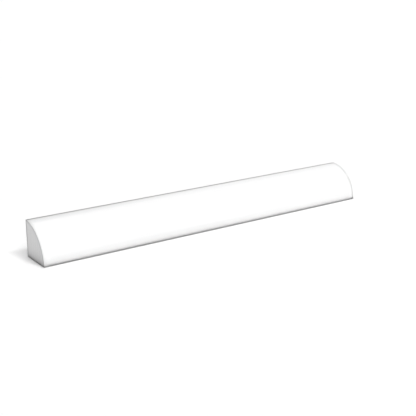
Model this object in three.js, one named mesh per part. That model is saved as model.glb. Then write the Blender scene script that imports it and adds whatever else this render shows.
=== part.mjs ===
// Quarter round moulding: a straight cut length of solid white trim whose section is a quarter of a circle.
// The flat base lies on z = 0, the flat back faces +y, the convex round faces -y and up,
// and the length runs along x. The origin is at the middle of the base.
import * as THREE from "three";

// Driving dimensions, in millimetres
const legSize = 19.05; // height of the back, depth of the base and radius of the round
const cutLength = 203.2; // from one square-cut end to the other
const arrisRadius = 0.3; // easing along the two long edges of the round and the heel

// How finely the curves are divided
const roundSteps = 96;
const arrisSteps = 5;

// White foamed plastic with a satin skin, the same colour all through
const whitePlastic = new THREE.MeshStandardMaterial({
  name: "white_pvc",
  color: new THREE.Color(0.86, 0.86, 0.86),
  roughness: 0.45,
  metalness: 0,
});

// Points along a circular arc about (centreX, centreY), both ends included, with angles in radians
function arcPoints(centreX, centreY, radius, startAngle, endAngle, steps) {
  const clockwise = endAngle < startAngle;
  const curve = new THREE.EllipseCurve(centreX, centreY, radius, radius, startAngle, endAngle, clockwise);
  return curve.getPoints(steps);
}

// The section, with x measured forwards from the back and y upwards from the base, drawn anticlockwise.
// Each end of the round rolls into a flat by an arris that touches both, so the arris centre lies
// one arris radius inside the flat and one inside the round.
function quarterRoundSection() {
  const centreReach = Math.sqrt((legSize - arrisRadius) ** 2 - arrisRadius ** 2);
  const touchAngle = Math.asin(arrisRadius / (legSize - arrisRadius));
  const rightAngle = Math.PI / 2;
  const toe = arcPoints(centreReach, arrisRadius, arrisRadius, -rightAngle, touchAngle, arrisSteps);
  const round = arcPoints(0, 0, legSize, touchAngle, rightAngle - touchAngle, roundSteps);
  const crest = arcPoints(
    arrisRadius,
    centreReach,
    arrisRadius,
    rightAngle - touchAngle,
    Math.PI,
    arrisSteps,
  );
  const heel = arcPoints(arrisRadius, arrisRadius, arrisRadius, Math.PI, Math.PI + rightAngle, arrisSteps);
  // The round shares its first and last points with the toe and the crest.
  return new THREE.Shape([...toe, ...round.slice(1, -1), ...crest, ...heel]);
}

// The moulding itself: the section drawn out along the length and laid on its base, back to +y
function quarterRoundMoulding() {
  const geometry = new THREE.ExtrudeGeometry(quarterRoundSection(), {
    depth: cutLength,
    steps: 1,
    bevelEnabled: false,
  });
  const moulding = new THREE.Mesh(geometry, whitePlastic);
  moulding.name = "quarter_round_moulding";
  moulding.rotation.set(Math.PI / 2, 0, -Math.PI / 2, "ZYX");
  moulding.position.set(cutLength / 2, legSize / 2, 0);
  return moulding;
}

const part = new THREE.Group();
part.name = "quarter_round";
part.add(quarterRoundMoulding());

export default part;
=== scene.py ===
import math

import bmesh
import bpy
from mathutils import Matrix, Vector


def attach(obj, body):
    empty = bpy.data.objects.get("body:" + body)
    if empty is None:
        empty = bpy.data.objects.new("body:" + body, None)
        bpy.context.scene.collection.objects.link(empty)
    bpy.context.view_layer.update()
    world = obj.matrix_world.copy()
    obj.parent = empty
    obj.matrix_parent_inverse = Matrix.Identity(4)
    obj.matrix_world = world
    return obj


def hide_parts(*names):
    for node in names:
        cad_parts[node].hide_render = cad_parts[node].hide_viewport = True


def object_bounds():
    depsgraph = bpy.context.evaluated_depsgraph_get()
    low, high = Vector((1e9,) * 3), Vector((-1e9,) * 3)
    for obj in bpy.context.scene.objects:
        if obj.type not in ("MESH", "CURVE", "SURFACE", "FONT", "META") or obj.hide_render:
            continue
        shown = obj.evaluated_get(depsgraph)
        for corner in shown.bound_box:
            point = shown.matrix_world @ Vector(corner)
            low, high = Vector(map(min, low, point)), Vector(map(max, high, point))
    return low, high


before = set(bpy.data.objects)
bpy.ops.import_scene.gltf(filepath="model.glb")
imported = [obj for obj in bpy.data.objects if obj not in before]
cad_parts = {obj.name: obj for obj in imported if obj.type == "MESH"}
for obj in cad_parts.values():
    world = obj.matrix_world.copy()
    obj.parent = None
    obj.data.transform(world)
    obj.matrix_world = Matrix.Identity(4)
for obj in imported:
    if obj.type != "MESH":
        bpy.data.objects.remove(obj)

cadLow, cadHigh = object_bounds()
cadMiddle = (cadLow + cadHigh) / 2
print("frame loaded:", ", ".join(sorted(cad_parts)))


# camera, at the photograph's viewing angle
cameraView = {
    "azimuth": -35.37,     # degrees, minus swings round to the left end
    "elevation": 16.75,    # degrees above the floor
    "distance": 0.4505,    # metres from what it aims at
    "aside": -0.00009,     # metres that the aim is off the moulding's middle, to the right and up
    "above": -0.00005,
    "lens": 71.43,         # mm, on the sensor below
    "sensor": 36.0,
    "clip": (0.01, 100.0),  # metres, nearest and farthest that it sees
}


def directionFrom(azimuth, elevation):
    turn, tilt = math.radians(azimuth), math.radians(elevation)
    flat = math.cos(tilt)
    return Vector((math.sin(turn) * flat, -math.cos(turn) * flat, math.sin(tilt)))


def placeCamera():
    lens = bpy.data.cameras.new("photoCamera")
    lens.sensor_width = cameraView["sensor"]
    lens.lens = cameraView["lens"]
    lens.clip_start, lens.clip_end = cameraView["clip"]
    camera = bpy.data.objects.new("photoCamera", lens)
    back = directionFrom(cameraView["azimuth"], cameraView["elevation"])
    turn = back.to_track_quat("Z", "Y")
    aim = cadMiddle + turn @ Vector((cameraView["aside"], cameraView["above"], 0.0))
    camera.location = aim + back * cameraView["distance"]
    camera.rotation_euler = turn.to_euler()
    bpy.context.scene.collection.objects.link(camera)
    bpy.context.scene.camera = camera


placeCamera()
print("camera placed")


# node helpers: a socket is linked, a number or colour is typed in
def newMaterial(name):
    material = bpy.data.materials.new(name)
    material.use_nodes = True
    tree = material.node_tree
    return material, tree, tree.nodes["Principled BSDF"]


def addNode(tree, kind, **settings):
    node = tree.nodes.new("ShaderNode" + kind)
    for key, value in settings.items():
        setattr(node, key, value)
    return node


def plug(tree, socket, source):
    if isinstance(source, bpy.types.NodeSocket):
        tree.links.new(source, socket)
    else:
        socket.default_value = source


def feed(tree, node, **sockets):
    for name, source in sockets.items():
        plug(tree, node.inputs[name.replace("_", " ")], source)


def worked(tree, kind, operation, first, second):
    node = addNode(tree, kind, operation=operation)
    plug(tree, node.inputs[0], first)
    plug(tree, node.inputs[1], second)
    return node.outputs["Value" if operation == "DISTANCE" else 0]


def grainNoise(tree, place, repeats, detail=2.0, harshness=0.55):
    squeezed = worked(tree, "VectorMath", "MULTIPLY", place, repeats)
    noise = addNode(tree, "TexNoise")
    feed(tree, noise, Vector=squeezed, Scale=1.0, Detail=detail, Roughness=harshness)
    return noise.outputs["Fac"]


# a value spread from low to high; most of a noise lies between 0.3 and 0.7
def spanned(tree, value, low, high, fromLow=0.3, fromHigh=0.7):
    ramp = addNode(tree, "MapRange")
    feed(tree, ramp, Value=value, From_Min=fromLow, From_Max=fromHigh, To_Min=low, To_Max=high)
    return ramp.outputs["Result"]


def greyOf(tree, value):
    grey = addNode(tree, "CombineColor")
    feed(tree, grey, Red=value, Green=value, Blue=value)
    return grey.outputs["Color"]


def raised(tree, height, depth, normal=None):
    bump = addNode(tree, "Bump")
    feed(tree, bump, Height=height, Distance=depth)
    if normal:
        feed(tree, bump, Normal=normal)
    return bump.outputs["Normal"]


# the drawn skin of the long faces: satin white with faint streaks and finer lines along the draw
skinFinish = {
    "white": (0.82, 0.875),
    "roughness": (0.40, 0.48),
    "ior": 1.5,
    "drawLines": (5.0, 1500.0, 1500.0),   # repeats per metre, drawn out along x
    "lineDetail": 3.0,
    "streaks": (8.0, 300.0, 300.0),       # broader than the lines, in the white itself
    "peel": (2200.0, 2600.0, 2600.0),     # fine dimples all over
    "lineDepth": 0.000004,
    "peelDepth": 0.000003,
}


def makeSkin():
    material, tree, shader = newMaterial("whiteSkin")
    place = addNode(tree, "TexCoord").outputs["Object"]
    lines = grainNoise(tree, place, skinFinish["drawLines"], skinFinish["lineDetail"])
    streaks = grainNoise(tree, place, skinFinish["streaks"])
    peel = grainNoise(tree, place, skinFinish["peel"])
    white = spanned(tree, streaks, *skinFinish["white"])
    feed(tree, shader, Base_Color=greyOf(tree, white), IOR=skinFinish["ior"])
    feed(tree, shader, Roughness=spanned(tree, lines, *skinFinish["roughness"]))
    normal = raised(tree, lines, skinFinish["lineDepth"])
    feed(tree, shader, Normal=raised(tree, peel, skinFinish["peelDepth"], normal))
    return material


# the sawn ends: matt foam core with saw marks, and painted shade darkening a band along each end's edges
sawnFinish = {
    "white": (0.80, 0.87),
    "edgeShadeShare": 0.70,                    # painted shade: the share of the core's white left at each edge
    "edgeShadeDepth": 0.0015,                  # width of the painted shade band in from each edge, fading into the core
    "roughness": (0.58, 0.70),
    "ior": 1.5,
    "arborFrom": (0.0, 0.120, 0.030),     # where the saw's arbor stood
    "toothMarks": 1300.0,                 # repeats per metre across the marks
    "markDetail": 3.0,
    "cells": (2400.0, 2400.0, 2400.0),
    "markDepth": 0.000012,
    "cellDepth": 0.000006,
}


# distance over a sawn end from a centre, whichever end it is
def distanceAcross(tree, place, centre):
    flattened = worked(tree, "VectorMath", "MULTIPLY", place, (0.0, 1.0, 1.0))
    return worked(tree, "VectorMath", "DISTANCE", flattened, centre)


# depth below the nearest long face, for a point on a sawn end
def depthInFromLongFaces(tree, place):
    fromHeel = distanceAcross(tree, place, (0.0, cadHigh.y, cadLow.z))
    parts = addNode(tree, "SeparateXYZ")
    feed(tree, parts, Vector=place)
    underRound = worked(tree, "Math", "SUBTRACT", cadHigh.z - cadLow.z, fromHeel)
    underBack = worked(tree, "Math", "SUBTRACT", cadHigh.y, parts.outputs["Y"])
    overBase = worked(tree, "Math", "SUBTRACT", parts.outputs["Z"], cadLow.z)
    underFlats = worked(tree, "Math", "MINIMUM", underBack, overBase)
    return worked(tree, "Math", "MINIMUM", underRound, underFlats)


def makeSawnEnd():
    material, tree, shader = newMaterial("sawnEnd")
    place = addNode(tree, "TexCoord").outputs["Object"]
    fromArbor = distanceAcross(tree, place, sawnFinish["arborFrom"])
    noise = addNode(tree, "TexNoise", noise_dimensions="1D")
    feed(tree, noise, W=fromArbor, Scale=sawnFinish["toothMarks"], Detail=sawnFinish["markDetail"])
    marks = noise.outputs["Fac"]
    cells = grainNoise(tree, place, sawnFinish["cells"])
    depth = depthInFromLongFaces(tree, place)
    # painted shade: the sawn end's white is darkened in a band along its edges, fading into the core
    ring = spanned(tree, depth, sawnFinish["edgeShadeShare"], 1.0, 0.0, sawnFinish["edgeShadeDepth"])
    white = worked(tree, "Math", "MULTIPLY", spanned(tree, marks, *sawnFinish["white"]), ring)
    feed(tree, shader, Base_Color=greyOf(tree, white), IOR=sawnFinish["ior"])
    feed(tree, shader, Roughness=spanned(tree, cells, *sawnFinish["roughness"]))
    normal = raised(tree, marks, sawnFinish["markDepth"])
    feed(tree, shader, Normal=raised(tree, cells, sawnFinish["cellDepth"], normal))
    return material


# the moulding, one drawn length cut square at both ends, in metres; a roll is how far from an edge
# the normals start to turn towards it, and a fade: 1 turns them evenly, more keeps the turn by the edge
mouldingCut = {
    "arris": 0.0003,                # easing of the toe, crest and heel, as in the solid
    "leastArris": 0.00002,          # what is left of it where a sawn end draws the section in
    "endEase": 0.0002,              # broken edge round each sawn end
    "roundSteps": 120,
    "flatSteps": 24,                # divisions of the back and of the base
    "arrisSteps": 3,                # divisions of half an arris or half a broken edge
    "bays": 80,                     # divisions along the length
    "toeRoll": (0.0017, 1.5),       # on the round, up from the toe and down from the crest
    "crestRoll": (0.0014, 0.4),
    "flatRoll": (0.0010, 1.5),      # on the back and the base
    "leftRoll": (0.0028, 1.5),      # on the long faces, beside each sawn end
    "rightRoll": (0.0020, 0.5),
    "capRoundRoll": (0.0002, 1.5),  # on the sawn ends, beside the round, the back and the base
    "capBackRoll": (0.0022, 1.5),
    "capBaseRoll": (0.0008, 1.5),
    "rollSteps": 7,                 # divisions of a roll beside a sawn edge
    "rollCrowd": 1.6,               # above 1 these come closer together near the edge
    "crestTurn": 0.75,              # share of the way over to the back that normals turn at the crest
    "crestLean": (10.0, -1.0),      # degrees that normals lean back below the crest, left and right
    "leanFrom": 57.0,               # degrees up the round where the lean starts
}


def rollTurn(distance, roll):
    width, fade = roll
    return max(1 - distance / width, 0.0) ** fade


def arcRun(centre, radius, fromAngle, toAngle, steps):
    run = []
    for step in range(steps + 1):
        angle = fromAngle + (toAngle - fromAngle) * step / steps
        run.append(Vector((centre[0] + math.cos(angle) * radius, centre[1] + math.sin(angle) * radius)))
    return run


def straightRun(start, end, steps):
    return [start.lerp(end, step / steps) for step in range(1, steps)]


# the angle of the round's normal at a point, with the lean below the crest
def roundAngle(point, touch, lean):
    steepest, leanFrom = math.pi / 2 - touch, math.radians(mouldingCut["leanFrom"])
    angle = min(max(math.atan2(point.y, point.x), touch), steepest)
    return angle + math.radians(lean) * max(angle - leanFrom, 0.0) / (steepest - leanFrom)


# one side of the section, from the middle of one corner to the middle of the next: each point with the
# angle of its normal and the roll that a sawn end has beside it; a corner is its own angle and its roll
def rolledSide(points, angles, startCorner, endCorner, capRoll):
    along = [0.0]
    for here, there in zip(points, points[1:]):
        along.append(along[-1] + (there - here).length)
    side = []
    for point, angle, place in zip(points, angles, along):
        for (cornerAngle, roll), distance in ((startCorner, place), (endCorner, along[-1] - place)):
            angle += (cornerAngle - angle) * rollTurn(distance, roll)
        side.append((point, angle, capRoll))
    return side[:-1]                # the next side starts with the same point


# the section drawn in by inset; points run forwards from the back and up from the base
def sectionOutline(inset, lean):
    cut = mouldingCut
    half, quarter = cut["arrisSteps"], math.pi / 2
    radius = cadHigh.z - cadLow.z - inset
    arris = max(cut["arris"] - inset, cut["leastArris"])
    wall = inset + arris
    reach = math.sqrt((radius - arris) ** 2 - wall ** 2)
    touch = math.asin(wall / (radius - arris))

    toe = arcRun((reach, wall), arris, -quarter, touch, 2 * half)
    sweep = arcRun((0, 0), radius, touch, quarter - touch, cut["roundSteps"])
    crest = arcRun((wall, reach), arris, quarter - touch, math.pi, 2 * half)
    heel = arcRun((wall, wall), arris, math.pi, math.pi + quarter, 2 * half)
    back = straightRun(crest[-1], heel[0], cut["flatSteps"])
    base = straightRun(heel[-1], toe[0], cut["flatSteps"])

    front = toe[half:] + sweep[1:-1] + crest[:half + 1]
    rear = crest[half:] + back + heel[:half + 1]
    under = heel[half:] + base + toe[:half + 1]
    frontAngles = [roundAngle(point, touch, lean) for point in front]
    rearAngles, underAngles = [math.pi] * len(rear), [-quarter] * len(under)
    atToe, atHeel, flat = (touch - quarter) / 2, math.pi + quarter / 2, cut["flatRoll"]
    atCrest = quarter - touch + (quarter + touch) * cut["crestTurn"]
    toeCorner, crestCorner = (atToe, cut["toeRoll"]), (atCrest, cut["crestRoll"])
    outline = rolledSide(front, frontAngles, toeCorner, crestCorner, cut["capRoundRoll"])
    outline += rolledSide(rear, rearAngles, (atCrest, flat), (atHeel, flat), cut["capBackRoll"])
    outline += rolledSide(under, underAngles, (atHeel - math.tau, flat), (atToe, flat), cut["capBaseRoll"])
    return outline


# stations from an end inwards: distance from the end, inset of the section, distance from the
# sawn edge over the surface, and the roll of the long faces, or None on the sawn end itself
def endStations(endRoll):
    cut = mouldingCut
    ease, eighth = cut["endEase"], math.pi / 4
    halfEase = ease * eighth
    shares = [((step + 1) / cut["rollSteps"]) ** cut["rollCrowd"] for step in range(cut["rollSteps"])]
    stations = []
    for share in reversed(shares):
        gap = cut["capBackRoll"][0] * share
        stations.append((0.0, ease + gap, gap + halfEase, None))
    for step in range(2 * cut["arrisSteps"] + 1):
        angle = eighth * step / cut["arrisSteps"]
        gap, roll = ease * abs(angle - eighth), None if angle < eighth else endRoll
        stations.append((ease - ease * math.cos(angle), ease - ease * math.sin(angle), gap, roll))
    for share in shares:
        gap = endRoll[0] * share
        stations.append((ease + gap, 0.0, gap + halfEase, endRoll))
    return stations


# all stations along the length, each led by its x and by the way its end faces
def lengthStations():
    cut = mouldingCut
    leftEnd = [(cadLow.x + along, -1, *rest) for along, *rest in endStations(cut["leftRoll"])]
    rightEnd = [(cadHigh.x - along, 1, *rest) for along, *rest in reversed(endStations(cut["rightRoll"]))]
    left, right = leftEnd[-1][0], rightEnd[0][0]
    bays = []
    for bay in range(1, cut["bays"]):
        x = left + (right - left) * bay / cut["bays"]
        bays.append((x, 1, 0.0, cadHigh.x - x, cut["rightRoll"]))
    return leftEnd + bays + rightEnd


def makeMoulding(skin, sawn):
    leftLean, rightLean = mouldingCut["crestLean"]
    meeting = math.pi / 4           # normals of a long face and a sawn end meet half way
    stations = lengthStations()
    work = bmesh.new()
    rings, normals = [], []
    for x, facing, inset, gap, endRoll in stations:
        ring = []
        share = (x - cadLow.x) / (cadHigh.x - cadLow.x)
        for point, angle, capRoll in sectionOutline(inset, leftLean + (rightLean - leftLean) * share):
            ring.append(work.verts.new((x, cadHigh.y - point.x, cadLow.z + point.y)))
            turn = meeting * rollTurn(gap, endRoll or capRoll)
            turn = turn if endRoll else math.pi / 2 - turn
            flat = math.cos(turn)
            normals.append((math.sin(turn) * facing, -math.cos(angle) * flat, math.sin(angle) * flat))
        rings.append(ring)
    for near, far, here, there in zip(rings, rings[1:], stations, stations[1:]):
        onCap = not (here[-1] and there[-1])
        for k in range(len(near)):
            face = work.faces.new((near[k - 1], far[k - 1], far[k], near[k]))
            face.material_index = int(onCap)
    for ring in (rings[0], reversed(rings[-1])):
        work.faces.new(tuple(ring)).material_index = 1
    for face in work.faces:
        face.smooth = True

    mesh = bpy.data.meshes.new("mouldingLength")
    work.to_mesh(mesh)
    work.free()
    mesh.normals_split_custom_set_from_vertices(normals)
    mesh.materials.append(skin)
    mesh.materials.append(sawn)
    moulding = bpy.data.objects.new("moulding", mesh)
    bpy.context.scene.collection.objects.link(moulding)
    return moulding


moulding = makeMoulding(makeSkin(), makeSawnEnd())
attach(moulding, "root")
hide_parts("quarter_round_moulding")
print("moulding made:", len(moulding.data.polygons), "faces")


# studio, in metres: a plain pale floor and soft lights
studio = {
    "floorSize": 40.0,
    "floorDrop": 0.00005,  # how far the floor lies below the base, with the dark card between them
    "floorWhite": (0.95, 0.95, 0.95, 1.0),
    "backdropWhite": (1.0, 1.0, 1.0, 1.0),
    "cardBlack": (0.0, 0.0, 0.0, 1.0),
    "cardReach": 0.0030,   # how far the dark card reaches out in front and at the ends
    "lights": {            # degrees round, degrees up, strength, degrees across
        "top": (0, 90, 1.3, 60),
        "key": (22, 56, 1.15, 15),
        "front": (0, 46, 0.4, 10),
        "fill": (-24, 25, 1.25, 30),
        "rim": (120, 35, 0.5, 60),
    },
}


def matt(name, grey):
    material, tree, shader = newMaterial(name)
    feed(tree, shader, Base_Color=grey, Roughness=1.0, Specular_IOR_Level=0.0)
    return material, tree, shader


def makeSheet(name, left, right, front, back, level, material):
    mesh = bpy.data.meshes.new(name)
    corners = [(left, front, level), (right, front, level), (right, back, level), (left, back, level)]
    mesh.from_pydata(corners, [], [(0, 1, 2, 3)])
    mesh.materials.append(material)
    sheet = bpy.data.objects.new(name, mesh)
    bpy.context.scene.collection.objects.link(sheet)
    return sheet


def makeFloor():
    half = studio["floorSize"] / 2
    material = matt("paleFloor", studio["floorWhite"])[0]
    makeSheet("paleFloor", -half, half, -half, half, cadLow.z - studio["floorDrop"], material)


# a dark card under the moulding, unseen by the camera, holds the floor's glare off its foot;
# it is dark from above and clear from below, so the floor under it stays bright
def makeCard():
    material, tree, shader = matt("darkCard", studio["cardBlack"])
    oneSided = addNode(tree, "MixShader")
    plug(tree, oneSided.inputs[0], addNode(tree, "NewGeometry").outputs["Backfacing"])
    plug(tree, oneSided.inputs[1], shader.outputs["BSDF"])
    plug(tree, oneSided.inputs[2], addNode(tree, "BsdfTransparent").outputs["BSDF"])
    feed(tree, tree.nodes["Material Output"], Surface=oneSided.outputs["Shader"])
    reach, level = studio["cardReach"], cadLow.z - studio["floorDrop"] / 2
    left, right = cadLow.x - reach, cadHigh.x + reach
    card = makeSheet("darkCard", left, right, cadLow.y - reach, cadHigh.y, level, material)
    card.visible_camera = card.visible_shadow = card.visible_glossy = False


def makeLight(name, azimuth, elevation, strength, spread):
    light = bpy.data.lights.new(name, "SUN")
    light.energy = strength
    light.angle = math.radians(spread)
    lamp = bpy.data.objects.new(name, light)
    lamp.rotation_euler = directionFrom(azimuth, elevation).to_track_quat("Z", "Y").to_euler()
    bpy.context.scene.collection.objects.link(lamp)


# white behind the floor's far edge, seen by the camera but giving no light
def makeBackdrop():
    world = bpy.data.worlds.new("whiteBackdrop")
    world.use_nodes = True
    bpy.context.scene.world = world
    background = world.node_tree.nodes["Background"]
    background.inputs["Color"].default_value = studio["backdropWhite"]
    seenBy = world.cycles_visibility
    seenBy.diffuse = seenBy.glossy = seenBy.transmission = seenBy.scatter = False


makeFloor()
makeCard()
for name, settings in studio["lights"].items():
    makeLight(name, *settings)
makeBackdrop()
bpy.context.scene.view_settings.view_transform = "Standard"
print("studio lit")
